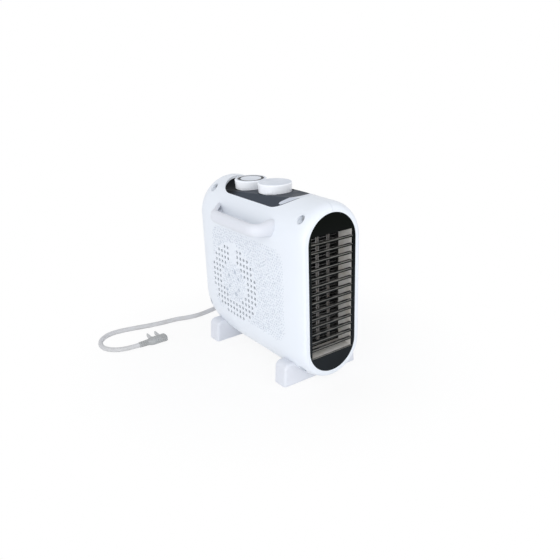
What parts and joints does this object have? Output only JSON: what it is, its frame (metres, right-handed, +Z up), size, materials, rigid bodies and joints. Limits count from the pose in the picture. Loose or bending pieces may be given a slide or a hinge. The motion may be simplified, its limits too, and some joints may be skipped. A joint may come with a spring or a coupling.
{
  "type": "ceramic space heater",
  "caption": "Upright ceramic fan heater: white side-intake casing on two foot bars, black louvred outlet, two top knobs, side carrying handle and mains lead.",
  "frame": {"origin": "middle of the base on the standing plane: halfway across the width over the feet and handle, halfway along the casing's depth", "axes": "+Z up; the warm air leaves towards -Y; the intake grille and the carrying handle are on the -X side"},
  "size_m": [0.34, 0.3955, 0.2453],
  "materials": {
    "casing": "satin white moulded casing",
    "grey_white": "satin light grey-white moulding",
    "black_panel": "black moulded outlet panel",
    "dark_panel": "dark slate control panel",
    "label": "pale bare inlay",
    "knob": "satin white knob",
    "knob_black": "black ring inlay",
    "lining": "heat-proof grey-tan moulding",
    "element_frame": "dark heat-resistant moulding",
    "stone": "fired ceramic plates",
    "aluminium": "thin rolled aluminium",
    "steel": "zinc plated steel",
    "bronze": "sintered bronze bush",
    "copper_coil": "taped copper winding",
    "inner_plastic": "dark grey moulded plastic",
    "fan_plastic": "dark moulded impeller",
    "rubber_pad": "black rubber",
    "cord": "pale grey flexible sheath",
    "plug": "mid grey moulded plug",
    "tie": "black strap"
  },
  "bodies": {
    "casing": {"shell_left": "casing", "shell_right": "casing", "shell_screws": "steel", "outlet_panel": "black_panel", "duct_lining": "lining", "heater_frame": "element_frame", "ptc_stones": "stone", "ptc_electrodes": "aluminium", "ptc_fins": "aluminium", "thermal_cutout": "steel", "thermal_fuse": "steel", "air_duct": "element_frame", "scroll_housing": "inner_plastic", "scroll_cover": "inner_plastic", "scroll_screws": "steel", "motor_stator": "steel", "motor_coil": "copper_coil", "bracket_inner": "steel", "bracket_outer": "steel", "bearing_bushes": "bronze", "motor_screws": "steel", "motor_spacers": "steel", "top_panel": "dark_panel", "label_inlay": "label", "control_bracket": "steel", "control_screws": "steel", "control_nuts": "steel", "thermostat_body": "inner_plastic", "switch_body": "element_frame", "handle": "grey_white", "handle_screws": "steel", "foot_front": "grey_white", "foot_rear": "grey_white", "foot_pads": "rubber_pad", "foot_screws": "steel", "terminal_block": "inner_plastic", "inner_leads": "cord", "strain_relief": "plug", "cord_lead": "cord", "cord_coil": "cord", "cord_tie": "tie", "cord_run": "cord", "plug_body": "plug", "plug_pins": "steel"},
    "fan": {"impeller": "fan_plastic", "motor_shaft": "steel", "motor_rotor": "steel"},
    "thermostat_knob": {"knob_thermostat": "knob", "thermostat_spindle": "steel"},
    "switch_knob": {"knob_switch": "knob", "knob_ring": "knob_black", "switch_spindle": "steel"}
  },
  "joints": [
    {"name": "fan_spin", "type": "hinge", "parent": "casing", "child": "fan", "pos_m": [0.00835, 0.0293, 0.105], "axis": [1, 0, 0], "continuous": true},
    {"name": "thermostat_turn", "type": "hinge", "parent": "casing", "child": "thermostat_knob", "pos_m": [0.00835, -0.007, 0.24], "axis": [0, 0, -1], "range_deg": [-40, 220]},
    {"name": "switch_turn", "type": "hinge", "parent": "casing", "child": "switch_knob", "pos_m": [0.00835, 0.0505, 0.236], "axis": [0, 0, -1], "range_deg": [0, 180]}
  ]
}
